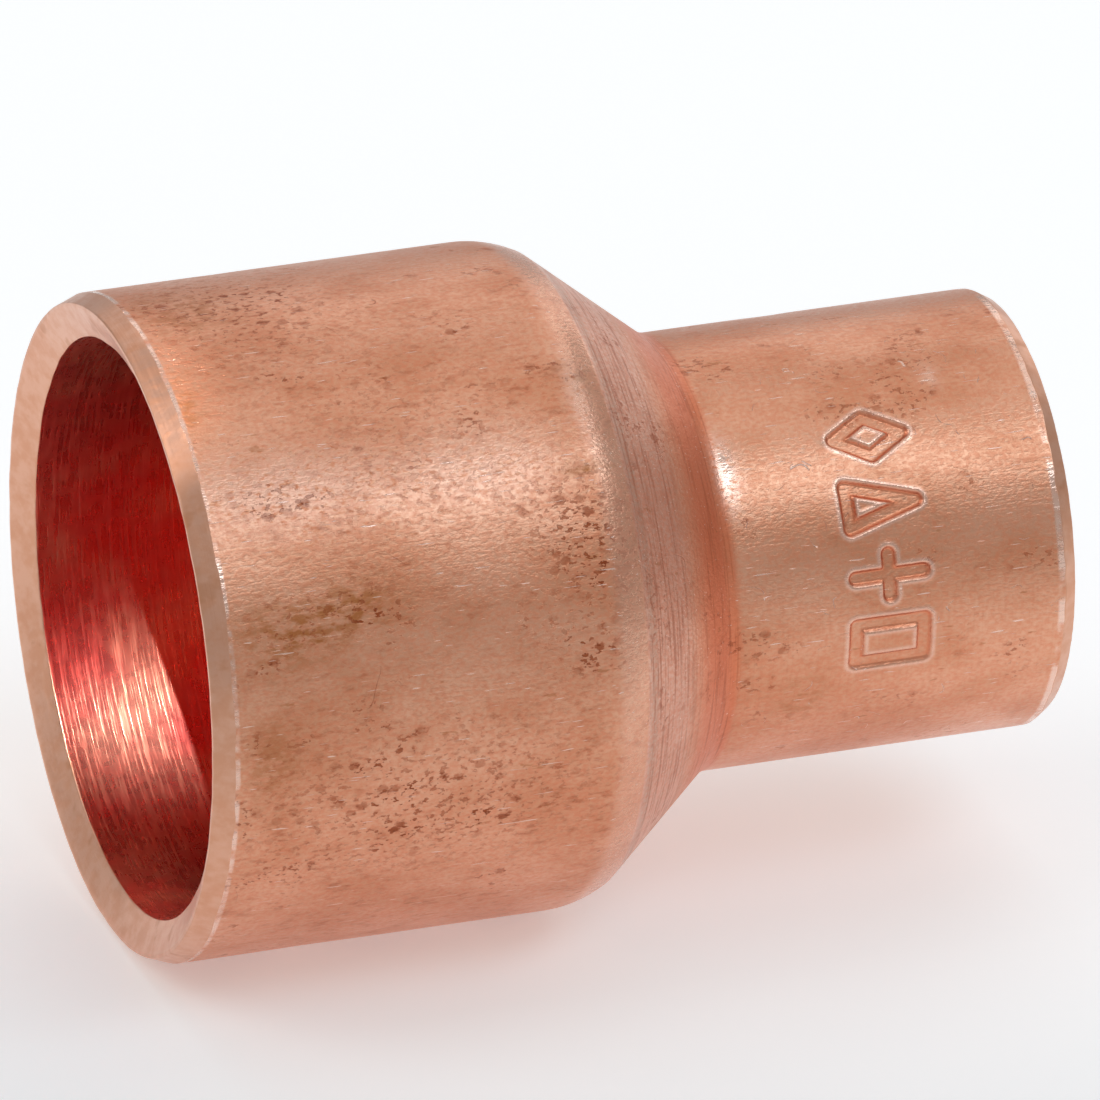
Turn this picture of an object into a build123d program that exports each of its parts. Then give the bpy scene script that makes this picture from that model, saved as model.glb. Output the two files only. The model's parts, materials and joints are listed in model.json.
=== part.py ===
from build123d import *

import os
from math import atan2, cos, degrees, radians, sin, tan

# Concentric reducer for soldering: one seamless piece of wrought copper tube,
# with a socket for a 5/8 in tube at one end and one for a 3/8 in tube at the
# other. +X runs along the bore from the large mouth to the small one, +Z is
# up, and the origin is the centre of the large mouth.
# Sizes are in millimetres and angles in degrees. Axial places are measured
# from the large mouth.

# Bores of the two sockets, which a tube slips into with a solder gap
large_bore = 15.98
small_bore = 9.63
small_socket_depth = 7.9

# Waterway between the sockets. It is narrower than the small socket by a step
# all round, which stops the small tube, and runs straight before the step.
stop_step = 0.265
stop_taper = 0.3
waterway_length = 1.036

# Walls
large_wall = 1.21
small_wall = 1.23
cone_wall = 1.2

# Lengths along the outside, between the sharp corners of the outline. The
# small barrel is as long as its socket, stop and waterway need.
large_barrel_length = 12.15
cone_length = 3.65

# Bends of the outside, where the tube is drawn down
shoulder_bend = 3.0
neck_bend = 1.0

# Large rim: a long outer bevel, a thin flat land and a wide inner bevel
large_rim_outer_drop = 0.22
large_rim_outer_back = 0.59
large_rim_land = 0.1
large_rim_inner_depth = 0.45

# Small rim, trimmed in the same way
small_rim_outer_drop = 0.22
small_rim_outer_back = 0.36
small_rim_land = 0.14
small_rim_inner_depth = 0.42

# Stamped marks: plain signs pressed in round the small barrel
mark_depth = 0.12
mark_stroke = 0.42
mark_length = 2.4
mark_width = 1.6
mark_gap = 0.35
mark_middle_angle = 69.0
mark_setback = 5.4

# Places and radii that follow from the sizes above
large_radius = large_bore / 2 + large_wall
small_radius = small_bore / 2 + small_wall
waterway_radius = small_bore / 2 - stop_step
shoulder_x = large_barrel_length
neck_x = shoulder_x + cone_length
cone_angle = atan2(large_radius - small_radius, cone_length)
cone_skin = cone_wall / cos(cone_angle)
inner_shoulder_x = shoulder_x - (cone_skin - large_wall) / tan(cone_angle)
inner_neck_x = shoulder_x + (large_radius - cone_skin - waterway_radius) / tan(cone_angle)
inner_shoulder_bend = shoulder_bend - cone_wall
inner_neck_bend = neck_bend + cone_wall
straight_bore_end = inner_shoulder_x - inner_shoulder_bend * tan(cone_angle / 2)
waterway_x = inner_neck_x + inner_neck_bend * tan(cone_angle / 2)
stop_x = waterway_x + waterway_length + stop_taper
body_length = stop_x + small_socket_depth

# Middle lines of a mark's strokes, as shares of its half length along the
# bore and its half width round the barrel
diamond = [((-1, 0), (0, 1)), ((0, 1), (1, 0)), ((1, 0), (0, -1)), ((0, -1), (-1, 0))]
triangle = [((-1, -1), (1, 0)), ((1, 0), (-1, 1)), ((-1, 1), (-1, -1))]
cross = [((-1, 0), (1, 0)), ((0, -1), (0, 1))]
frame = [((-1, -1), (1, -1)), ((1, -1), (1, 1)), ((1, 1), (-1, 1)), ((-1, 1), (-1, -1))]
marks = [diamond, triangle, cross, frame]


def outer_line():
    """Outside of the tube: large barrel, cone and small barrel."""
    points = [
        (large_rim_outer_back, large_radius),
        (shoulder_x, large_radius),
        (neck_x, small_radius),
        (body_length - small_rim_outer_back, small_radius),
    ]
    return FilletPolyline(*points, radius=[shoulder_bend, neck_bend])


def inner_line():
    """Inside of the tube from the stop back to the large mouth's bevel."""
    points = [
        (stop_x - stop_taper, waterway_radius),
        (inner_neck_x, waterway_radius),
        (inner_shoulder_x, large_bore / 2),
        (large_rim_inner_depth, large_bore / 2),
    ]
    return FilletPolyline(*points, radius=[inner_neck_bend, inner_shoulder_bend])


def small_end_line():
    """Small rim, then the small socket down to its stop."""
    land_radius = small_radius - small_rim_outer_drop
    return Polyline(
        (body_length - small_rim_outer_back, small_radius),
        (body_length, land_radius),
        (body_length, land_radius - small_rim_land),
        (body_length - small_rim_inner_depth, small_bore / 2),
        (stop_x, small_bore / 2),
        (stop_x - stop_taper, waterway_radius),
    )


def large_end_line():
    """Large rim, from its inner bevel out to its outer one."""
    land_radius = large_radius - large_rim_outer_drop
    return Polyline(
        (large_rim_inner_depth, large_bore / 2),
        (0, land_radius - large_rim_land),
        (0, land_radius),
        (large_rim_outer_back, large_radius),
    )


def drawn_tube():
    """Section of the wall, turned round the bore."""
    section = make_face(outer_line() + small_end_line() + inner_line() + large_end_line())
    return revolve(Plane.XZ * section, Axis.X, 360)


def stroke_slot(start, end):
    """One stroke of a mark, with round ends, flat on the mark's own plane."""
    half_length = (mark_length - mark_stroke) / 2
    half_width = (mark_width - mark_stroke) / 2
    tail = Vector(start[0] * half_length, start[1] * half_width)
    head = Vector(end[0] * half_length, end[1] * half_width)
    run = head - tail
    middle = (head + tail) / 2
    turn = degrees(atan2(run.Y, run.X))
    return Pos(middle.X, middle.Y) * Rot(0, 0, turn) * SlotCenterToCenter(run.length, mark_stroke)


def mark_tool(strokes, angle):
    """One mark as a tool that reaches through the small barrel's wall."""
    outward = (0, -sin(radians(angle)), cos(radians(angle)))
    station = Plane(origin=(body_length - mark_setback, 0, 0), x_dir=(1, 0, 0), z_dir=outward)
    outline = Sketch() + [stroke_slot(start, end) for start, end in strokes]
    return extrude(station * outline, amount=2 * small_radius)


def mark_skin():
    """The thin skin of the small barrel that the marks are pressed into."""
    skin_length = mark_length + mark_stroke
    middle = Location((body_length - mark_setback, 0, 0), (0, 90, 0))
    outside = Cylinder(small_radius + mark_depth, skin_length)
    inside = Cylinder(small_radius - mark_depth, skin_length)
    return middle * (outside - inside)


def stamped(body):
    """Body with the row of marks pressed into the small barrel."""
    step = degrees((mark_width + mark_gap) / small_radius)
    first = mark_middle_angle - step * (len(marks) - 1) / 2
    skin = mark_skin()
    for place, strokes in enumerate(marks):
        body = body - (skin & mark_tool(strokes, first + step * place))
    return body


reducer_body = stamped(drawn_tube())
os.makedirs("parts", exist_ok=True)
export_step(reducer_body, "parts/reducer_body.step")

print("outside", round(2 * large_radius, 3), "to", round(2 * small_radius, 3), "mm")
print("length", round(body_length, 3), "mm, cone", round(degrees(cone_angle), 2), "degrees")
print("large bore is straight to", round(straight_bore_end, 3), "mm, small one from", round(stop_x, 3))
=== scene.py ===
import json
from math import cos, degrees, pi, radians, sin, tan

import bpy
import numpy as np
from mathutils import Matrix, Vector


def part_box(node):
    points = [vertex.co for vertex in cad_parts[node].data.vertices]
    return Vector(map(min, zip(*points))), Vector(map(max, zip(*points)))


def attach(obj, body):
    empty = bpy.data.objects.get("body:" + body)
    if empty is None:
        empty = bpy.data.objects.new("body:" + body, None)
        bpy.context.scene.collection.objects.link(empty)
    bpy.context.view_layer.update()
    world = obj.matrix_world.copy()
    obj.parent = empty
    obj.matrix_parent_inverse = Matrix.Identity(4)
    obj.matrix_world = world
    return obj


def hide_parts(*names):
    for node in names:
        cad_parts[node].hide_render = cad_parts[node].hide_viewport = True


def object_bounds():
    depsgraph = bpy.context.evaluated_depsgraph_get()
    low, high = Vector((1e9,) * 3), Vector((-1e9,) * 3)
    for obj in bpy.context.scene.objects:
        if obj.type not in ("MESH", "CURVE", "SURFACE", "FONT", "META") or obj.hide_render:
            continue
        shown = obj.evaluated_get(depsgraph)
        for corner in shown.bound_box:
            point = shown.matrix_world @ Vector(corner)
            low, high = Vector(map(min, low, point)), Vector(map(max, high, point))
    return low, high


bl_info = {
    "name": "Copper Reducer",
    "version": (1, 0, 0),
    "blender": (4, 5, 0),
    "location": "3D View > Sidebar > Reducer",
    "description": "Makes a drawn copper reducer with stamped marks, and a stage to show it on",
    "category": "Object",
}

# The design is loaded as a fixed frame. Its box and mounts give the main sizes.
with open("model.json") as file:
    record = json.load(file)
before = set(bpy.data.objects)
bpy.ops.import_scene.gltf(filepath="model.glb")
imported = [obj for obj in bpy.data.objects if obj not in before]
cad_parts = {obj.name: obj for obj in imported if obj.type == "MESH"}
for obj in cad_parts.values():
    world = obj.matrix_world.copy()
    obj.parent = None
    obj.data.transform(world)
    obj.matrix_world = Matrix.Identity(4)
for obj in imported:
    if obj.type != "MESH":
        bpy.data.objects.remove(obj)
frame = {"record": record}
cad_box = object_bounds()

MM = 0.001
BOX_MIDDLE = (np.array(cad_box[0]) + np.array(cad_box[1])) / 2
MOUNTS = {mount["name"]: mount for mount in frame["record"]["mounts"]}
BODY_LOW, BODY_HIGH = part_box("reducer_body")
BODY_LENGTH = BODY_HIGH[0] - BODY_LOW[0]
LARGE_RADIUS = BODY_HIGH[2]
LARGE_BORE_RADIUS = MOUNTS["large_socket"]["dims"]["r_mm"] * MM
SMALL_BORE_RADIUS = MOUNTS["small_socket"]["dims"]["r_mm"] * MM


def linear(hex_colour):
    """An sRGB hex colour, such as "C07850", as three linear values."""
    srgb = np.array([int(hex_colour[i:i + 2], 16) for i in (0, 2, 4)]) / 255
    low, high = srgb / 12.92, ((srgb + 0.055) / 1.055) ** 2.4
    return tuple(float(value) for value in np.where(srgb <= 0.04045, low, high))


def length(name, description, millimetres):
    """A length property, given in millimetres and kept in metres."""
    return bpy.props.FloatProperty(name=name, description=description, default=millimetres * MM,
                                   precision=6, unit="LENGTH")


def angle(name, description, value):
    """An angle property, given in degrees and kept in radians."""
    return bpy.props.FloatProperty(name=name, description=description, default=radians(value),
                                   unit="ROTATION")


def colour(name, description, hex_colour):
    """A colour property, given as an sRGB hex value."""
    return bpy.props.FloatVectorProperty(name=name, description=description, size=3,
                                         subtype="COLOR", default=linear(hex_colour),
                                         min=0, max=1)


class ReducerTube(bpy.types.PropertyGroup):
    """Sizes of the drawn tube that the frame's box and mounts don't give."""
    small_wall: length("Small wall", "Wall at the small socket", 1.23)
    cone_wall: length("Cone wall", "Wall of the cone, measured square to it", 1.2)
    barrel_length: length("Large barrel", "Large mouth to the shoulder's corner", 12.15)
    cone_length: length("Cone length", "Shoulder's corner to the neck's corner", 3.65)
    shoulder_bend: length("Shoulder bend", "Outside radius where the cone starts", 3.0)
    bend_corner: length("Bend corner", "Large mouth to the corner of the shoulder bend", 11.72)
    crease: length("Crease", "Large mouth to the crease that the die's edge left", 12.42)
    crease_bend: length("Crease bend", "Outside radius of the crease", 0.2)
    crease_slope: angle("Crease slope", "Slope of the shoulder ahead of the crease", 26)
    neck_bend: length("Neck bend", "Outside radius where the cone ends", 1.0)
    socket_depth: length("Small socket depth", "Small mouth to the tube's stop", 7.9)
    stop_step: length("Stop step", "How far the stop stands in from the socket", 0.265)
    stop_taper: length("Stop taper", "Length of the sloping face of the stop", 0.3)
    large_rim_drop: length("Large rim drop", "Outer bevel, across the wall", 0.22)
    large_rim_back: length("Large rim length", "Outer bevel, along the barrel", 0.59)
    large_rim_land: length("Large rim land", "Width of the flat end face", 0.1)
    large_rim_depth: length("Large rim depth", "Inner bevel, along the bore", 0.45)
    small_rim_drop: length("Small rim drop", "Outer bevel, across the wall", 0.22)
    small_rim_back: length("Small rim length", "Outer bevel, along the barrel", 0.36)
    small_rim_land: length("Small rim land", "Width of the flat end face", 0.14)
    small_rim_depth: length("Small rim depth", "Inner bevel, along the bore", 0.42)
    edge_break: length("Edge break", "Radius that trimming leaves on an edge", 0.035)
    burr: length("Burr", "How far the trimmed edges wander", 0.022)
    dent: length("Dents", "Depth of the shallow handling dents", 0.02)


class ReducerMarks(bpy.types.PropertyGroup):
    """Sizes of the row of plain signs stamped round the small barrel."""
    depth: length("Depth", "How deep the punch went in", 0.12)
    lip: length("Lip", "Height of the metal raised beside a stroke", 0.02)
    stroke: length("Stroke", "Width of a stroke", 0.46)
    side: length("Side", "Width of a stroke's sloping side", 0.09)
    size_along: length("Length", "A sign's size along the bore", 2.4)
    size_round: length("Width", "A sign's size round the barrel", 1.6)
    gap: length("Gap", "Between one sign and the next", 0.35)
    setback: length("Setback", "Small mouth to the middle of the row", 5.4)
    middle: angle("Middle", "Middle of the row, from the top towards the front", 69)


class ReducerCopper(bpy.types.PropertyGroup):
    """Colours of the copper, where it was drawn, turned and annealed."""
    drawn: colour("Drawn", "Clean drawn copper", "E7AA89")
    drawn_deep: colour("Drawn, deep", "Drawn copper where its film is thicker", "D89672")
    # neck also paints a reflection: an orange-red band round the concave neck, standing for the
    # copper reflecting itself there. The same colour tints the grit and the foot of the stamped
    # strokes.
    neck: colour("Neck", "Copper worked hard in the neck", "DE7A50")
    pit: colour("Pits", "Old oxide left in the pits", "A44C18")
    stain: colour("Stain", "Flux and heat stains", "B56E3A")
    # cone is a painted reflection: a paler grey-pink tint over the cone near the shoulder, standing
    # for the surroundings that the cone reflects
    cone: colour("Cone", "Paler copper rubbed by the drawing die", "DDB6A8")
    # crease is painted shade: a dull grey band just past the crease of the shoulder
    crease: colour("Crease", "Dull film beside the crease of the shoulder", "BE9A84")
    # scratch is the fresh metal of the nicks, and also the colour of painted highlights: the stroke
    # lips, the shoulder band, the rubbed places, the rim edges and the glints
    scratch: colour("Scratch", "Fresh metal in a scratch", "FFE2D3")
    turned: colour("Turned", "Freshly turned copper on the rims", "E3AC90")
    bore: colour("Bore", "Annealed copper of the bore", "F2A284")
    # The deep bore colour is partly real red oxide and partly painted reflection: its red stands in
    # for the copper reflecting itself inside the bore
    bore_deep: colour("Bore, deep", "Red oxide film in the bore", "EE665A")


class ReducerStage(bpy.types.PropertyGroup):
    """Floor, lights and camera."""
    floor: colour("Floor", "Plain pale floor", "F4F4F4")
    surround: colour("Surround", "Plain light all round", "FFFFFF")
    surround_strength: bpy.props.FloatProperty(
        name="Surround strength", description="Brightness of the plain light all round",
        default=0.45, min=0)
    floor_glow: bpy.props.FloatProperty(
        name="Floor glow", description="Light that comes up through the floor's translucent sheet",
        default=0.3, min=0)
    glow_reach: length("Glow reach", "How far the floor glows, behind the reducer", 80)
    floor_size: length("Floor size", "Side of the square floor", 4000)
    azimuth: angle("Azimuth", "Camera's angle round the upright axis", -18.865)
    elevation: angle("Elevation", "Camera's angle above the floor", 24.279)
    distance: length("Distance", "Camera to the middle of the reducer", 698.4)
    aim_right: length("Aim right", "How far right of the reducer's middle it looks", -0.241)
    aim_up: length("Aim up", "How far above the reducer's middle it looks", 0.48)
    lens: bpy.props.FloatProperty(name="Lens", description="Focal length in millimetres",
                                  default=838, unit="CAMERA")

# ---------------------------------------------------------------- tube

# Columns of points round the tube
COLUMNS = 340

# An arc has one row for every ARC_STEP degrees that it turns, and at least ARC_ROWS of them. An
# arc whose radius is below SMALL_BEND has ARC_ROWS.
ARC_STEP = 3
ARC_ROWS = 3
SMALL_BEND = 0.5 * MM

# How close a straight run's first and last rows stand to its ends
RUN_END = 0.05 * MM

# Corners of tube_corners whose arc and run belong to the outside and to the bore
OUTER_CORNERS = (0, 1, 2, 3, 4, 5)
BORE_CORNERS = (9, 10, 11, 12, 13)

# Trimmed edges: corner, share of the burr, whether it only moves inward, random seed
TRIMMED_EDGES = [
    (0, 1.0, False, 3),
    (14, 0.5, False, 4),
    (15, 0.5, True, 5),
    (16, 0.8, True, 6),
    (6, 0.8, False, 7),
    (7, 0.6, True, 8),
    (8, 0.5, True, 9),
]
EDGE_REACH = 0.13 * MM

# Middle lines of each sign's strokes, as shares of its half length and half width
DIAMOND = [((-1, 0), (0, 1)), ((0, 1), (1, 0)), ((1, 0), (0, -1)), ((0, -1), (-1, 0))]
TRIANGLE = [((-1, -1), (1, 0)), ((1, 0), (-1, 1)), ((-1, 1), (-1, -1))]
CROSS = [((-1, 0), (1, 0)), ((0, -1), (0, 1))]
OBLONG = [((-1, -1), (1, -1)), ((1, -1), (1, 1)), ((1, 1), (-1, 1)), ((-1, 1), (-1, -1))]
SIGNS = [DIAMOND, TRIANGLE, CROSS, OBLONG]

DENT_COUNT = 46
DENT_SEED = 11

# Where handling left wear on the outside; some rubbed rows are painted highlights instead. Each
# row gives millimetres from the large mouth, degrees round from the top, how far the wear spreads
# along (mm) and round (degrees), and how strong it is.
WEAR = {
    "pitted": [
        (11.1, 60, 1.4, 8, 1.0), (10.6, 76, 1.5, 8, 0.5), (13.0, 74, 0.6, 8, 0.5),
        (6.0, 103, 5.0, 14, 0.65), (3.0, 0, 2.8, 18, 0.8), (7.0, 40, 4.5, 22, 0.3),
        (16.5, 61, 0.25, 4, 0.9), (2.4, 68, 1.5, 5, 0.6), (4.4, 66, 0.9, 4, 0.6),
        (4.0, 205, 2.4, 16, 0.8), (9.5, 262, 2.0, 12, 0.7), (10.5, 170, 1.6, 10, 0.6),
        (20.5, 215, 1.6, 14, 0.5),
    ],
    "stained": [
        (2.4, 69, 1.7, 6, 1.0), (4.4, 66, 1.0, 4, 0.9), (2.0, 0, 1.3, 10, 0.9),
        (0.9, 26, 0.4, 7, 0.8), (11.7, 31, 0.45, 3, 1.3), (11.2, 48, 0.5, 1.2, 1.5),
        (1.6, 91, 0.8, 9, 0.6), (17.9, 112, 0.7, 8, 0.6), (3.2, 190, 1.4, 9, 0.8),
        (8.8, 300, 1.2, 7, 0.8), (19.5, 250, 1.0, 9, 0.6),
    ],
    # rubbed: the rows at 34 to 47 degrees on the large barrel, the shoulder and the neck are painted
    # highlights, placed where the key lamp's highlight falls; the rest is rubbed wear
    "rubbed": [
        (16.15, 46, 0.3, 9, 1.0), (16.1, 158, 0.15, 9, 0.7), (16.05, 236, 0.17, 12, 0.8),
        (11.6, 34, 0.35, 8, 0.4), (22.6, 26, 0.25, 4, 0.4), (2.8, 45, 3.2, 8, 0.35),
        (8.6, 46, 2.4, 7, 0.25),
    ],
}

# Masks that the tube's mesh carries for its outside finish: the stamped strokes, the foot and
# the lip of their sides, then the wear, whose rubbed places also carry painted highlights
MASKS = ("pressed", "foot", "lip", *WEAR)


def corner_arc(before, here, after, bend):
    """Points of the arc that rounds one corner of an outline.

    The arc is tangent to both runs: it starts the bend radius times the tangent of half the
    turn from the corner, and its points turn evenly about its centre. A corner without a bend
    or a turn stays one point.
    """
    into = (here - before) / np.linalg.norm(here - before)
    out = (after - here) / np.linalg.norm(after - here)
    turn = np.arctan2(into[0] * out[1] - into[1] * out[0], into @ out)
    if bend == 0 or abs(turn) < 1e-6:
        return here[None]
    left = np.array([-into[1], into[0]]) * np.sign(turn)
    centre = here - into * bend * abs(tan(turn / 2)) + left * bend
    rows = ARC_ROWS
    if bend >= SMALL_BEND:
        rows = max(rows, int(np.ceil(abs(degrees(turn)) / ARC_STEP)))
    sweep = np.linspace(0, turn, rows + 1)
    spoke = -left * bend
    return centre + np.stack([spoke[0] * np.cos(sweep) - spoke[1] * np.sin(sweep),
                              spoke[0] * np.sin(sweep) + spoke[1] * np.cos(sweep)], axis=1)


def run_shares(rows, run):
    """Places of the rows inside one straight run, as shares of it.

    The first and last rows stand close to the run's ends, so that the shading of a flat face
    isn't pulled round by the small arcs beside it; the others divide the run evenly.
    """
    close = min(RUN_END / run, 0.2)
    if rows < 2:
        return np.array([close, 1 - close])
    even = np.linspace(0, 1, rows + 1)[1:-1]
    inside = (even > 1.5 * close) & (even < 1 - 1.5 * close)
    return np.concatenate([[close], even[inside], [1 - close]])


def rounded_outline(corners):
    """A closed outline through corners, with its corners rounded and its runs divided.

    corners is a list of (x, radius from the axis, bend radius, rows on the run that follows).
    Returns an array of points (x, r) and the number of the corner that each point follows.
    """
    places = np.array([corner[:2] for corner in corners])
    arcs = [corner_arc(places[i - 1], places[i], places[(i + 1) % len(places)], corners[i][2])
            for i in range(len(places))]
    outline, owner = [], []
    for i, arc in enumerate(arcs):
        start, stop = arc[-1], arcs[(i + 1) % len(arcs)][0]
        share = run_shares(corners[i][3], np.linalg.norm(stop - start))
        outline += [arc, start + share[:, None] * (stop - start)]
        owner += [i] * (len(arc) + len(share))
    return np.concatenate(outline), np.array(owner)


def tube_corners(tube, marks):
    """Corners of the wall's section: outside, small rim, inside, then the large rim.

    Each is (x, radius from the axis, bend radius, rows on the run that follows).
    """
    small_radius = SMALL_BORE_RADIUS + tube.small_wall
    waterway = SMALL_BORE_RADIUS - tube.stop_step
    shoulder = tube.barrel_length
    neck = shoulder + tube.cone_length
    slope = (LARGE_RADIUS - small_radius) / tube.cone_length
    skin = tube.cone_wall * (1 + slope ** 2) ** 0.5
    large_wall = LARGE_RADIUS - LARGE_BORE_RADIUS
    inner_shoulder = shoulder - (skin - large_wall) / slope
    inner_neck = shoulder + (LARGE_RADIUS - skin - waterway) / slope
    stop = BODY_LENGTH - tube.socket_depth
    mark_middle = BODY_LENGTH - marks.setback
    mark_half = marks.size_along / 2 + marks.side
    large_land = LARGE_RADIUS - tube.large_rim_drop
    small_land = small_radius - tube.small_rim_drop
    crease_radius = LARGE_RADIUS - (tube.crease - tube.bend_corner) * tan(tube.crease_slope)
    edge = tube.edge_break
    return [
        (tube.large_rim_back, LARGE_RADIUS, 2 * edge, 36),
        (tube.bend_corner, LARGE_RADIUS, tube.shoulder_bend, 1),
        (tube.crease, crease_radius, tube.crease_bend, 8),
        (neck, small_radius, tube.neck_bend, 8),
        (mark_middle - mark_half, small_radius, 0, 60),
        (mark_middle + mark_half, small_radius, 0, 11),
        (BODY_LENGTH - tube.small_rim_back, small_radius, 2 * edge, 3),
        (BODY_LENGTH, small_land, edge, 1),
        (BODY_LENGTH, small_land - tube.small_rim_land, edge, 4),
        (BODY_LENGTH - tube.small_rim_depth, SMALL_BORE_RADIUS, edge, 9),
        (stop, SMALL_BORE_RADIUS, edge, 1),
        (stop - tube.stop_taper, waterway, edge, 3),
        (inner_neck, waterway, tube.neck_bend + tube.cone_wall, 4),
        (inner_shoulder, LARGE_BORE_RADIUS, tube.shoulder_bend - tube.cone_wall, 14),
        (tube.large_rim_depth, LARGE_BORE_RADIUS, edge, 6),
        (0, large_land - tube.large_rim_land, edge, 1),
        (0, large_land, edge, 5),
    ]


def column_angles(marks, small_radius):
    """Angles of the columns round the tube, measured from the top towards the front.

    They stand up to 4.6 times as close where the signs are stamped: the angles are read off
    the running sum of a density that is one everywhere and higher in the signs' sector.
    """
    sector = (len(SIGNS) * marks.size_round + (len(SIGNS) - 1) * marks.gap) / small_radius
    margin, blend, extra, steps = radians(5), radians(1.5), 3.6, 7200
    fine = np.linspace(marks.middle - pi, marks.middle + pi, steps + 1)
    past = np.abs(fine - marks.middle) - (sector / 2 + margin)
    density = 1 + extra / (1 + np.exp(past / blend))
    total = np.concatenate([[0], np.cumsum((density[1:] + density[:-1]) / 2)])
    return np.interp(np.linspace(0, total[-1], COLUMNS + 1)[:-1], total, fine)


def bell(value, middle, width):
    """A bell that is 1 at the middle: exp(-((value - middle) / width) squared)."""
    return np.exp(-((value - middle) / width) ** 2)


def smooth_step(low, high, value):
    """0 below low, 1 above high, and an S curve between them."""
    share = np.clip((value - low) / (high - low), 0, 1)
    return share * share * (3 - 2 * share)


def turn_from(bearing, angles):
    """The shorter way round from a bearing to each angle, positive or negative."""
    return np.angle(np.exp(1j * (angles - bearing)))


def spread(x, angles, places):
    """How worn each point is: a sum of bells about the places, and 1 at most."""
    worn = np.zeros(np.broadcast(x, angles).shape)
    for place, bearing, reach_along, reach_round, strength in places:
        worn += strength * (bell(x, place * MM, reach_along * MM)
                            * bell(turn_from(radians(bearing), angles), 0, radians(reach_round)))
    return np.minimum(worn, 1)


def wander(angles, lowest, highest, seed):
    """A smooth random wave round the tube, about one high.

    It is a sum of cosines of whole multiples of the angle, from lowest to highest, with random
    phases and heights that fall with the square root of the multiple.
    """
    random = np.random.default_rng(seed)
    orders = np.arange(lowest, highest + 1)
    phases = random.uniform(0, 2 * pi, len(orders))
    heights = random.normal(0, 1, len(orders)) / np.sqrt(orders / lowest)
    wave = (heights[:, None] * np.cos(orders[:, None] * angles + phases[:, None])).sum(0)
    return wave / np.sqrt((heights ** 2).sum() / 2)


def dents(x, angles, depth):
    """Shallow handling dents: a sum of round bells, each exp(-(distance / width) squared)."""
    random = np.random.default_rng(DENT_SEED)
    mean_radius = 0.8 * LARGE_RADIUS
    height = np.zeros(np.broadcast(x, angles).shape)
    for _ in range(DENT_COUNT):
        place = random.uniform(0.6 * MM, 0.97 * BODY_LENGTH)
        bearing = random.uniform(0, 2 * pi)
        width = random.uniform(0.35, 1.5) * MM
        away = np.hypot(x - place, turn_from(bearing, angles) * mean_radius)
        height -= depth * random.uniform(0.15, 1) * bell(away, 0, width)
    return height


def edge_wander(outline, angles, corners, burr):
    """How far each point moves along X because the trimmed edges aren't quite true.

    Each edge has its own random wave round the tube, slow and quick together, and a point takes
    the wave times a bell of its distance from the edge. The edges of the flat lands only move
    inward, so that the ends stay inside the part's length.
    """
    shift = np.zeros((len(outline), len(angles)))
    for corner, share, one_way, seed in TRIMMED_EDGES:
        away = np.linalg.norm(outline - np.array(corners[corner][:2]), axis=1)
        wave = 0.6 * wander(angles, 3, 16, seed) + 0.5 * wander(angles, 17, 70, seed + 20)
        inward = 1 if corners[corner][0] < BODY_LENGTH / 2 else -1
        wave = inward * (0.5 * np.abs(wave) if one_way else wave)
        shift += bell(away, 0, EDGE_REACH)[:, None] * burr * share * wave
    return shift


def stroke_distance(along, around, marks):
    """Distance of each point of the unrolled barrel from the middle of the nearest stroke.

    For each stroke the point's foot on the line is held between the stroke's two ends, and the
    distance is the length from the point to that foot; the signs' least value counts.
    """
    half = ((marks.size_along - marks.stroke) / 2, (marks.size_round - marks.stroke) / 2)
    pitch = marks.size_round + marks.gap
    nearest = np.full(np.broadcast(along, around).shape, 1.0)
    for place, strokes in enumerate(SIGNS):
        centre = (place - (len(SIGNS) - 1) / 2) * pitch
        for tail, head in strokes:
            start = np.array([tail[0] * half[0], centre - tail[1] * half[1]])
            run = np.array([head[0] * half[0], centre - head[1] * half[1]]) - start
            reach = ((along - start[0]) * run[0] + (around - start[1]) * run[1]) / (run @ run)
            reach = np.clip(reach, 0, 1)
            gap = np.hypot(along - start[0] - reach * run[0], around - start[1] - reach * run[1])
            nearest = np.minimum(nearest, gap)
    return nearest


def stamp_masks(x, angles, marks, small_radius):
    """Where the punch pressed the metal in, and the foot and the raised lip of a stroke's side.

    All three follow a point's gap from the stroke's edge: pressed is an S curve down the sloping
    side, and the foot and the lip are bells. The punch was struck unevenly, so they are also
    multiplied by a cosine of the place round the barrel that stays between 0.64 and 1.
    """
    along = x - (BODY_LENGTH - marks.setback)
    around = (angles - marks.middle)[None] * small_radius
    gap = stroke_distance(along, around, marks) - marks.stroke / 2
    uneven = 0.82 + 0.18 * np.cos(around / (2.2 * MM) + 0.6)
    pressed = (1 - smooth_step(-marks.side, 0, gap)) * uneven
    foot = bell(gap, -0.8 * marks.side, 0.045 * MM) * uneven
    lip = bell(gap, 0.05 * MM, 0.06 * MM) * uneven
    return pressed, foot, lip


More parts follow.
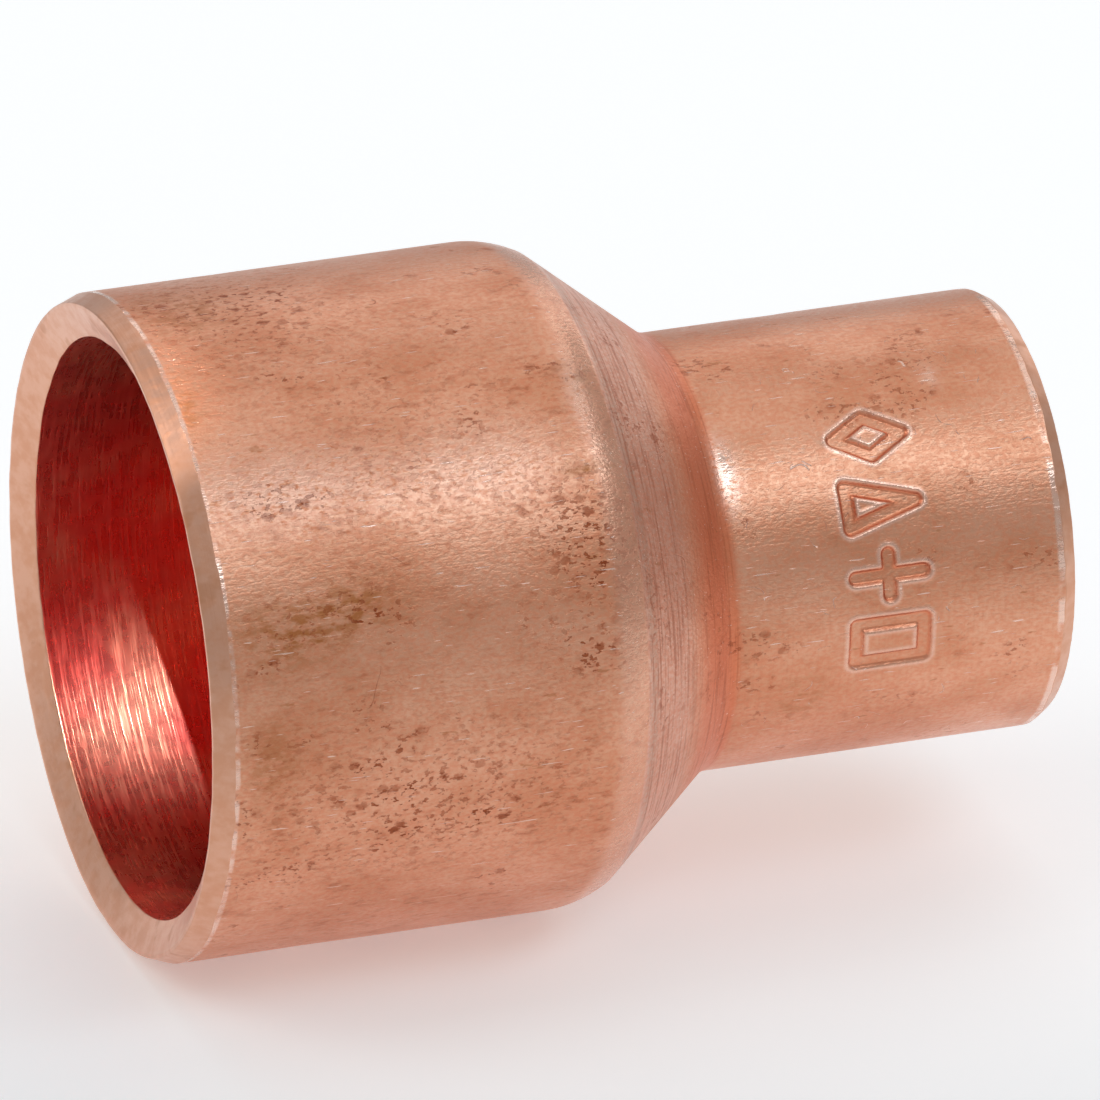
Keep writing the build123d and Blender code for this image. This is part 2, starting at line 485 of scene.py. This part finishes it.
def tube_surface(tube, marks):
    """Points of the whole wall, as a grid of outline rows by columns round the bore.

    Each point is the outline's (x, r) pushed along the outline's normal by a relief, then
    turned about X: (x, -r sin a, r cos a). The relief is the stamped signs, a raised lip beside
    them and the dents, and the trimmed edges wander along X. Also returns the corner that each
    row follows, and a dictionary of the masks.
    """
    corners = tube_corners(tube, marks)
    outline, owner = rounded_outline(corners)
    small_radius = SMALL_BORE_RADIUS + tube.small_wall
    angles = column_angles(marks, small_radius)
    ahead = np.roll(outline, -1, axis=0) - np.roll(outline, 1, axis=0)
    ahead /= np.linalg.norm(ahead, axis=1)[:, None]
    normal = np.stack([-ahead[:, 1], ahead[:, 0]], axis=1)
    x, r = outline[:, :1], outline[:, 1:]
    outer = np.isin(owner, OUTER_CORNERS)[:, None]
    on_barrel = outer & (x > BODY_LENGTH - 2 * marks.setback)

    pressed, foot, lip = [np.where(on_barrel, mask, 0)
                          for mask in stamp_masks(x, angles, marks, small_radius)]
    relief = marks.lip * lip - marks.depth * pressed
    relief += np.where(outer, dents(x, angles, tube.dent), 0)
    moved_x = x + normal[:, :1] * relief + edge_wander(outline, angles, corners, tube.burr)
    moved_r = np.minimum(r + normal[:, 1:] * relief, LARGE_RADIUS)
    points = np.stack([moved_x, -moved_r * np.sin(angles), moved_r * np.cos(angles)], axis=2)
    wear = [spread(x, angles, places) for places in WEAR.values()]
    return points, owner, dict(zip(MASKS, (pressed, foot, lip, *wear)))


def grid_mesh(name, points):
    """A mesh from a grid of points that closes on itself both ways, with faces outward."""
    rows, columns = points.shape[:2]
    row, column = np.meshgrid(np.arange(rows), np.arange(columns), indexing="ij")
    below, beside = (row + 1) % rows, (column + 1) % columns
    corner = [row * columns + column, row * columns + beside,
              below * columns + beside, below * columns + column]
    quads = np.stack(corner, axis=2).reshape(-1, 4)
    mesh = bpy.data.meshes.new(name)
    mesh.vertices.add(rows * columns)
    mesh.vertices.foreach_set("co", points.reshape(-1).astype(np.float32))
    mesh.loops.add(quads.size)
    mesh.loops.foreach_set("vertex_index", quads.reshape(-1).astype(np.int32))
    mesh.polygons.add(len(quads))
    mesh.polygons.foreach_set("loop_start", np.arange(0, quads.size, 4, dtype=np.int32))
    mesh.update(calc_edges=True)
    mesh.polygons.foreach_set("use_smooth", np.ones(len(quads), dtype=bool))
    return mesh


# ---------------------------------------------------------------- finishes

# Roughness of the thin clear film on each copper finish
COAT_ROUGHNESS = 0.45


def add(tree, kind, links=None, **settings):
    """Adds one node. links gives each input, by name or number, a value or a socket."""
    node = tree.nodes.new(kind)
    for key, value in settings.items():
        setattr(node, key, value)
    for key, value in (links or {}).items():
        if isinstance(value, bpy.types.NodeSocket):
            tree.links.new(value, node.inputs[key])
        else:
            node.inputs[key].default_value = value
    return node


def per_mm(*sizes):
    """Scale that makes one unit of a pattern the given number of millimetres on each axis."""
    return tuple(1 / (size * MM) for size in sizes)


def overlap(tree, *masks):
    """Where all the masks lie over each other: their product. A mask may also be a number."""
    shared = masks[0]
    for mask in masks[1:]:
        shared = add(tree, "ShaderNodeMath", {0: shared, 1: mask}, operation="MULTIPLY").outputs[0]
    return shared


def weighed(tree, parts, total=0.0):
    """A number plus the sum of masks, each times its own. parts is a list of (mask, number)."""
    for mask, number in parts:
        total = add(tree, "ShaderNodeMath", {0: mask, 1: number, 2: total},
                    operation="MULTIPLY_ADD").outputs[0]
    return total


def painted(tree, skin, layers):
    """A colour with layers laid over it in turn. layers is a list of (colour, mask, strength)."""
    for over, mask, strength in layers:
        skin = add(tree, "ShaderNodeMix", {0: overlap(tree, mask, strength), 6: skin,
                                           7: (*over, 1)}, data_type="RGBA").outputs[2]
    return skin


def patches(tree, spot, sizes, low, high, seed, detail=3.0):
    """A mask of random patches, sizes millimetres across along X, Y and Z.

    It is fractal noise, stretched to those sizes, cut between low and high.
    """
    place = add(tree, "ShaderNodeMapping", {"Vector": spot, "Scale": per_mm(*sizes),
                                            "Location": (seed, 1.7 * seed, 2.3 * seed)})
    noise = add(tree, "ShaderNodeTexNoise", {"Vector": place.outputs[0], "Scale": 1.0,
                                             "Detail": detail, "Roughness": 0.6})
    cut = add(tree, "ShaderNodeMapRange", {"Value": noise.outputs["Fac"], "From Min": low,
                                           "From Max": high}, interpolation_type="SMOOTHSTEP")
    return cut.outputs[0]


def hairlines(tree, spot, size, width, shown, seed):
    """A mask of thin curved scratches.

    They are the lines where soft noise of the given size in millimetres crosses its middle
    value, width being how near it counts, kept only where a second noise is above shown.
    """
    place = add(tree, "ShaderNodeMapping", {"Vector": spot, "Scale": per_mm(size, size, size),
                                            "Location": (seed, seed, seed)})
    noise = add(tree, "ShaderNodeTexNoise", {"Vector": place.outputs[0], "Scale": 1.0,
                                             "Detail": 1.0})
    off = add(tree, "ShaderNodeMath", {0: noise.outputs["Fac"], 1: 0.5}, operation="SUBTRACT")
    near = add(tree, "ShaderNodeMath", {0: off.outputs[0]}, operation="ABSOLUTE")
    line = add(tree, "ShaderNodeMapRange", {"Value": near.outputs[0], "From Min": width,
                                            "From Max": 0.0}, interpolation_type="SMOOTHSTEP")
    part = patches(tree, spot, [0.6 * size] * 3, shown, shown + 0.03, seed + 5)
    return overlap(tree, line.outputs[0], part)


def pits(tree, spot, cell, radius, share, seed):
    """A mask of small irregular pits, one at most in each random cell.

    A pit is where the distance to the cell's middle, after the place is jogged by fine noise,
    is under radius, in cells; a cell has one if its random number is below share. Cells are
    cell millimetres across, and a quarter longer along the tube.
    """
    place = add(tree, "ShaderNodeMapping", {"Vector": spot, "Location": (seed, seed, seed),
                                            "Scale": per_mm(1.25 * cell, cell, cell)})
    jog = add(tree, "ShaderNodeTexNoise", {"Vector": place.outputs[0], "Scale": 4.0,
                                           "Detail": 2.0})
    moved = add(tree, "ShaderNodeVectorMath", {0: jog.outputs["Color"], 1: (0.45, 0.45, 0.45),
                                               2: place.outputs[0]}, operation="MULTIPLY_ADD")
    cells = add(tree, "ShaderNodeTexVoronoi", {"Vector": moved.outputs[0], "Scale": 1.0})
    hole = add(tree, "ShaderNodeMapRange", {"Value": cells.outputs["Distance"],
                                            "From Min": radius, "From Max": 0.55 * radius},
               interpolation_type="SMOOTHSTEP")
    number = add(tree, "ShaderNodeSeparateColor", {"Color": cells.outputs["Color"]})
    chosen = add(tree, "ShaderNodeMath", {0: number.outputs[0], 1: share}, operation="LESS_THAN")
    return overlap(tree, hole.outputs[0], chosen.outputs[0])


def band(tree, spot, start, stop, soft):
    """A mask that is 1 between two places along X, with soft ends, all in millimetres."""
    parts = add(tree, "ShaderNodeSeparateXYZ", {"Vector": spot})
    ends = [add(tree, "ShaderNodeMapRange", {"Value": parts.outputs["X"], "From Min": none * MM,
                                             "From Max": full * MM},
                interpolation_type="SMOOTHSTEP").outputs[0]
            for none, full in ((start - soft, start), (stop + soft, stop))]
    return overlap(tree, *ends)


def new_material(name):
    """A material with its tree and its place in object coordinates."""
    material = bpy.data.materials.new(name)
    material.use_nodes = True
    tree = material.node_tree
    return material, tree, add(tree, "ShaderNodeTexCoord").outputs["Object"]


def finish_metal(tree, skin, roughness, heights, coat):
    """Ends a copper material: its colour, roughness, relief in millimetres and clear film."""
    metal = tree.nodes["Principled BSDF"]
    bump = add(tree, "ShaderNodeBump", {"Height": weighed(tree, heights), "Distance": MM,
                                        "Strength": 1.0})
    metal.inputs["Metallic"].default_value = 1.0
    metal.inputs["Coat Weight"].default_value = coat
    metal.inputs["Coat Roughness"].default_value = COAT_ROUGHNESS
    tree.links.new(skin, metal.inputs["Base Color"])
    tree.links.new(roughness, metal.inputs["Roughness"])
    tree.links.new(bump.outputs[0], metal.inputs["Normal"])


def drawn_copper(copper, tube):
    """Copper tube, drawn through a die, pickled clean and tumbled with others in a drum.

    To the eye: a satin pink metal, mottled a little, with fine lines along the tube, small
    brown pits in clusters, a few orange stains, and bright and dark hairline scratches.
    """
    material, tree, spot = new_material("copper_drawn_and_pickled")
    pressed, foot, lip, pitted, stained, rubbed = [
        add(tree, "ShaderNodeAttribute", attribute_name=name).outputs["Fac"] for name in MASKS]

    # Bands along the tube, in millimetres from the large mouth
    shoulder, neck = tube.barrel_length / MM, (tube.barrel_length + tube.cone_length) / MM
    end = BODY_LENGTH / MM
    large_edge, small_edge = tube.large_rim_back / MM, end - tube.small_rim_back / MM
    large_barrel = band(tree, spot, 0, shoulder, 1.0)
    # Painted highlight: a faint pale band over the shoulder bend, where the bend catches the key
    # lamp
    shine = band(tree, spot, shoulder - 0.35, shoulder + 0.1, 0.5)
    # Painted shade: a dull grey band just past the crease of the shoulder
    crease = band(tree, spot, shoulder + 0.42, shoulder + 0.6, 0.14)
    # Painted reflection: the cone near the shoulder is tinted paler and greyer, for the surroundings
    # it reflects; the rings use this band only as a place
    cone = overlap(tree, band(tree, spot, shoulder + 0.38, neck, 0.16),
                   band(tree, spot, 0, neck - 2.0, 0.9))
    # Painted reflection: an orange-red band round the neck, for the copper reflecting itself in the
    # concave neck; the rings use this band only as a place
    neck_band = overlap(tree, band(tree, spot, neck - 0.7, neck + 0.9, 0.9),
                        band(tree, spot, 0, neck + 0.05, 0.3))
    small_barrel = band(tree, spot, neck + 0.6, end, 0.3)
    rims = weighed(tree, [(band(tree, spot, large_edge - 0.09, large_edge + 0.07, 0.08), 1.0),
                          (band(tree, spot, small_edge - 0.14, small_edge + 0.01, 0.1), 1.0)])

    # The metal itself: its mottle, its grain along the tube and the die's rings round it. Real
    # die lines are mostly narrower than the grain's 0.06 mm and would be too fine to show, so
    # the grain is drawn that wide.
    blotch = patches(tree, spot, (3.5, 2.4, 2.4), 0.36, 0.66, 3.1, 2.0)
    grit = patches(tree, spot, (0.15, 0.1, 0.1), 0.3, 0.7, 8.4, 2.0)
    grain = patches(tree, spot, (2.2, 0.06, 0.06), 0.3, 0.7, 1.9, 1.0)
    rings = overlap(tree, patches(tree, spot, (0.08, 2.4, 2.4), 0.48, 0.68, 6.2, 1.0),
                    weighed(tree, [(cone, 1.0), (neck_band, 0.8), (small_barrel, 0.1)]))

    # Oxide in pits, smudges and stains
    cluster = patches(tree, spot, (2.6, 1.6, 1.6), 0.56, 0.68, 4.4, 2.0)
    corroded = weighed(tree, [(cluster, 0.6), (pitted, 1.0)])
    specks = overlap(tree, patches(tree, spot, (0.22, 0.14, 0.14), 0.57, 0.63, 2.0, 2.0), corroded)
    dots = overlap(tree, pits(tree, spot, 0.46, 0.36, 0.6, 9.0), corroded)
    smudge = overlap(tree, patches(tree, spot, (0.5, 0.22, 0.22), 0.5, 0.74, 21.0, 4.0),
                     weighed(tree, [(blotch, 0.6), (large_barrel, 0.4)]))
    film = patches(tree, spot, (0.5, 0.25, 0.25), 0.4, 0.62, 12.5)
    flecks = patches(tree, spot, (1.1, 0.35, 0.35), 0.69, 0.73, 5.5)
    stain = weighed(tree, [(overlap(tree, film, stained), 0.9), (stained, 0.3), (flecks, 0.6)])

    # Handling: rubbed places and worn edges, partly painted highlights; painted glints; scratches
    # and nicks
    # Painted highlights and wear: the rubbed places are tinted bright, and most of them lie where
    # the key lamp's highlight falls
    burnish = overlap(tree, rubbed, patches(tree, spot, (0.22, 0.12, 0.12), 0.3, 0.5, 6.6, 2.0))
    # Worn bright edges of the rims, tinted bright all round: partly wear, partly painted glints
    worn_edge = overlap(tree, rims, patches(tree, spot, (1.5, 0.9, 0.9), 0.36, 0.56, 10.4, 4.0))
    glints = patches(tree, spot, (0.8, 0.06, 0.06), 0.71, 0.76, 15.2, 1.0)
    scratches = hairlines(tree, spot, 3.5, 0.0014, 0.6, 3.0)
    nicks = overlap(tree, hairlines(tree, spot, 1.1, 0.004, 0.58, 7.0), small_barrel)

    # Painted light among the layers: the cone tint and the neck band are painted reflections, the
    # crease band is painted shade, and the lip, the shoulder band, the rubbed places and the glints
    # are painted highlights; the worn edges are partly painted glints.
    skin = painted(tree, (*copper.drawn, 1), [
        (copper.drawn_deep, blotch, 1.0), (copper.cone, cone, 0.45), (copper.crease, crease, 0.5),
        (copper.neck, neck_band, 0.8), (copper.neck, grit, 0.42), (copper.pit, smudge, 0.45),
        (copper.stain, stain, 0.85), (copper.pit, specks, 0.88), (copper.pit, dots, 0.8),
        (copper.pit, rings, 0.45), (copper.pit, scratches, 0.5), (copper.neck, foot, 0.75),
        # The lip's bright tint is a painted highlight along the raised lip beside each stroke
        (copper.scratch, lip, 0.45), (copper.scratch, shine, 0.14),
        (copper.scratch, burnish, 0.75), (copper.scratch, worn_edge, 0.6),
        (copper.scratch, glints, 0.6), (copper.scratch, nicks, 0.7)])
    roughness = weighed(tree, [
        (grit, 0.1), (blotch, 0.05), (grain, 0.05), (stain, 0.12), (smudge, 0.08),
        (small_barrel, -0.05), (specks, 0.2), (dots, 0.2), (nicks, -0.1), (glints, -0.12),
        (rings, 0.08), (burnish, -0.3), (shine, -0.15), (worn_edge, -0.26), (pressed, -0.05),
        (lip, -0.14)], 0.33)
    heights = [(grit, 0.005), (grain, 0.0015), (specks, -0.02), (dots, -0.015),
               (scratches, -0.01), (nicks, -0.015), (glints, -0.005), (rings, -0.004)]
    finish_metal(tree, skin, roughness, heights, 0.5)
    return material


def turned_copper(copper):
    """Copper cut by the trimming tool on both rims.

    To the eye: a smoother, paler ring with fine lines round the bore and a few faint stains.
    """
    material, tree, spot = new_material("copper_turned_rim")
    lines = patches(tree, spot, (0.05, 1.8, 1.8), 0.3, 0.7, 2.2)
    mottle = patches(tree, spot, (0.7, 0.5, 0.5), 0.35, 0.65, 5.1, 4.0)
    stain = patches(tree, spot, (1.2, 1.2, 1.2), 0.6, 0.7, 9.3)
    skin = painted(tree, (*copper.turned, 1), [(copper.drawn_deep, mottle, 0.6),
                                               (copper.stain, stain, 0.35)])
    roughness = weighed(tree, [(mottle, 0.06), (lines, 0.05), (stain, 0.06)], 0.28)
    finish_metal(tree, skin, roughness, [(lines, 0.0012), (mottle, 0.003)], 0.3)
    return material


def annealed_copper(copper):
    """Copper softened by heat before the sockets were sized, with a thin red oxide film.

    To the eye: deep red, darker in patches, with streaks round the bore from the sizing plug.
    """
    material, tree, spot = new_material("copper_annealed_bore")
    streaks = patches(tree, spot, (0.1, 1.6, 1.6), 0.42, 0.7, 4.8, 2.0)
    mottle = patches(tree, spot, (0.6, 0.45, 0.45), 0.35, 0.65, 1.1)
    film = patches(tree, spot, (3.0, 3.0, 3.0), 0.38, 0.62, 7.7)
    # The deep red film is partly painted reflection, standing for the copper reflecting itself
    # inside the bore
    skin = painted(tree, (*copper.bore, 1), [(copper.bore_deep, film, 1.0),
                                             (copper.bore_deep, mottle, 0.3)])
    roughness = weighed(tree, [(mottle, 0.05), (streaks, 0.1)], 0.24)
    finish_metal(tree, skin, roughness, [(streaks, 0.0035), (mottle, 0.0012)], 0.5)
    return material


def paper_floor(stage, level):
    """Matt white paper over a light table.

    To the eye: no gloss, and a faint pool of light from below that fades out all round. The
    pool's middle stands behind the reducer, as the camera sees it, half its reach away.
    """
    material, tree, spot = new_material("matt_paper_floor")
    away = stage.glow_reach / 2
    middle = (BODY_LENGTH / 2 - away * sin(stage.azimuth), away * cos(stage.azimuth), level)
    place = add(tree, "ShaderNodeMapping", {
        "Vector": spot, "Scale": [1 / stage.glow_reach] * 3,
        "Location": [-value / stage.glow_reach for value in middle]})
    fade = add(tree, "ShaderNodeTexGradient", {"Vector": place.outputs[0]},
               gradient_type="SPHERICAL")
    glow = add(tree, "ShaderNodeMapRange", {"Value": fade.outputs["Fac"], "From Max": 0.5,
                                            "To Max": stage.floor_glow},
               interpolation_type="SMOOTHSTEP")
    paper = tree.nodes["Principled BSDF"]
    paper.inputs["Base Color"].default_value = (*stage.floor, 1)
    paper.inputs["Roughness"].default_value = 0.9
    paper.inputs["Specular IOR Level"].default_value = 0.2
    paper.inputs["Emission Color"].default_value = (1, 1, 1, 1)
    tree.links.new(glow.outputs[0], paper.inputs["Emission Strength"])
    return material


# ---------------------------------------------------------------- operators

class ReducerAddTube(bpy.types.Operator):
    """Makes the reducer's one piece of drawn copper tube, with its stamped marks"""
    bl_idname = "reducer.add_tube"
    bl_label = "Drawn copper tube"

    def execute(self, context):
        scene = context.scene
        tube, marks, copper = scene.reducer_tube, scene.reducer_marks, scene.reducer_copper
        points, owner, masks = tube_surface(tube, marks)
        mesh = grid_mesh("drawn_tube", points)
        for name, values in masks.items():
            layer = mesh.attributes.new(name, "FLOAT", "POINT")
            layer.data.foreach_set("value", values.reshape(-1).astype(np.float32))
        for material in (drawn_copper(copper, tube), turned_copper(copper), annealed_copper(copper)):
            mesh.materials.append(material)
        drawn, turned, annealed = range(3)
        finish = np.full(len(owner), turned, dtype=np.int32)
        finish[np.isin(owner, OUTER_CORNERS)] = drawn
        finish[np.isin(owner, BORE_CORNERS)] = annealed
        mesh.polygons.foreach_set("material_index", np.repeat(finish, COLUMNS))
        mesh.validate()
        piece = bpy.data.objects.new("drawn_copper_tube", mesh)
        scene.collection.objects.link(piece)
        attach(piece, "root")
        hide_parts("reducer_body")
        return {"FINISHED"}


# Soft boxes: name, bearing and height in degrees as seen from the reducer, distance, width and
# height in metres, brightness and colour. Bearings turn as the camera's azimuth does.
SOFT_BOXES = [
    ("key", 28, 50, 0.75, 0.8, 0.23, 2.15, "DAF0FF"),
    ("rear", 158, 38, 0.8, 0.7, 0.42, 0.64, "FFFFFF"),
    ("overhead", 104, 72, 0.75, 0.4, 0.8, 0.48, "FFFFFF"),
    ("side", 130, 13, 0.8, 0.42, 0.3, 0.68, "FFFFFF"),
    ("left", -98, 44, 0.6, 0.3, 0.3, 1.5, "FFFFFF"),
]

# The narrow lamp that shines into the large socket: the point in the mouth that it aims at in
# millimetres, bearing, height and beam in degrees, distance and lamp radius in metres, and watts
SNOOT = {"aim": (0, -0.4, 4.9), "bearing": -24, "height": 56, "beam": 1.0, "distance": 0.35,
         "radius": 0.0015, "watts": 16}


def hang(scene, lamp, aim, bearing, height, distance):
    """Hangs a lamp at a bearing and height as seen from aim, and turns it to face aim."""
    bearing, height = radians(bearing), radians(height)
    toward = np.array([sin(bearing) * cos(height), -cos(bearing) * cos(height), sin(height)])
    hung = bpy.data.objects.new(lamp.name, lamp)
    hung.location = aim + toward * distance
    hung.rotation_euler = (pi / 2 - height, 0, bearing)
    scene.collection.objects.link(hung)
    return hung


def soft_box(scene, name, bearing, height, distance, wide, tall, brightness, tint):
    """A square lamp that faces the reducer. Its power is brightness times pi times its area."""
    lamp = bpy.data.lights.new(name + "_soft_box", "AREA")
    lamp.shape = "RECTANGLE"
    lamp.size, lamp.size_y = wide, tall
    lamp.energy = brightness * pi * wide * tall
    lamp.color = linear(tint)
    hang(scene, lamp, BOX_MIDDLE, bearing, height, distance)


def snoot(scene, aim, bearing, height, beam, distance, radius, watts):
    """A narrow lamp that lights the reducer only, so that its spot doesn't show on the floor."""
    lamp = bpy.data.lights.new("snoot", "SPOT")
    lamp.spot_size, lamp.spot_blend = radians(beam), 0.8
    lamp.shadow_soft_size, lamp.energy = radius, watts
    spot = hang(scene, lamp, np.array(aim) * MM, bearing, height, distance)
    lit = bpy.data.collections.new("lit_by_snoot")
    lit.objects.link(bpy.data.objects["drawn_copper_tube"])
    spot.light_linking.receiver_collection = lit


class ReducerAddStage(bpy.types.Operator):
    """Makes a plain pale floor, soft studio light and the camera"""
    bl_idname = "reducer.add_stage"
    bl_label = "Stage"

    def execute(self, context):
        scene = context.scene
        stage = scene.reducer_stage
        self.add_floor(scene, stage)
        for row in SOFT_BOXES:
            soft_box(scene, *row)
        snoot(scene, **SNOOT)
        self.add_surround(scene, stage)
        self.add_camera(scene, stage)
        return {"FINISHED"}

    def add_floor(self, scene, stage):
        """A square sheet just under the reducer."""
        half, level = stage.floor_size / 2, cad_box[0][2]
        corners = [(x * half, y * half, level) for x, y in ((-1, -1), (1, -1), (1, 1), (-1, 1))]
        mesh = bpy.data.meshes.new("floor")
        mesh.from_pydata(corners, [], [(0, 1, 2, 3)])
        mesh.materials.append(paper_floor(stage, level))
        floor = bpy.data.objects.new("floor", mesh)
        scene.collection.objects.link(floor)

    def add_surround(self, scene, stage):
        """Plain light from all round."""
        world = bpy.data.worlds.new("surround")
        world.use_nodes = True
        light = world.node_tree.nodes["Background"]
        light.inputs["Color"].default_value = (*stage.surround, 1)
        light.inputs["Strength"].default_value = stage.surround_strength
        scene.world = world
        scene.view_settings.view_transform = "Standard"

    def add_camera(self, scene, stage):
        """A long lens that looks at the reducer's middle, a little to one side."""
        lens = bpy.data.cameras.new("camera")
        lens.lens = stage.lens
        lens.clip_start, lens.clip_end = 0.01, 10
        turn, rise = stage.azimuth, stage.elevation
        ahead = np.array([-sin(turn) * cos(rise), cos(turn) * cos(rise), -sin(rise)])
        right = np.array([cos(turn), sin(turn), 0])
        up = np.cross(right, ahead)
        camera = bpy.data.objects.new("camera", lens)
        camera.location = (BOX_MIDDLE + stage.aim_right * right + stage.aim_up * up
                           - stage.distance * ahead)
        camera.rotation_euler = (pi / 2 - rise, 0, turn)
        scene.collection.objects.link(camera)
        scene.camera = camera


class ReducerPanel(bpy.types.Panel):
    """Lists the reducer's sizes, colours and operators"""
    bl_idname = "VIEW3D_PT_reducer"
    bl_label = "Copper reducer"
    bl_space_type = "VIEW_3D"
    bl_region_type = "UI"
    bl_category = "Reducer"

    def draw(self, context):
        for name, group in GROUPS.items():
            box = self.layout.box()
            settings = getattr(context.scene, name)
            for field in group.__annotations__:
                box.prop(settings, field)
        for operator in (ReducerAddTube, ReducerAddStage):
            self.layout.operator(operator.bl_idname)


GROUPS = {
    "reducer_tube": ReducerTube,
    "reducer_marks": ReducerMarks,
    "reducer_copper": ReducerCopper,
    "reducer_stage": ReducerStage,
}
CLASSES = (*GROUPS.values(), ReducerAddTube, ReducerAddStage, ReducerPanel)


def register():
    """Registers every class and hangs the settings on the scene."""
    for kind in CLASSES:
        bpy.utils.register_class(kind)
    for name, group in GROUPS.items():
        setattr(bpy.types.Scene, name, bpy.props.PointerProperty(type=group))


def unregister():
    """Takes away what register added."""
    for name in GROUPS:
        delattr(bpy.types.Scene, name)
    for kind in reversed(CLASSES):
        bpy.utils.unregister_class(kind)


def main():
    register()
    bpy.ops.reducer.add_tube()
    bpy.ops.reducer.add_stage()


if __name__ == "__main__":
    main()
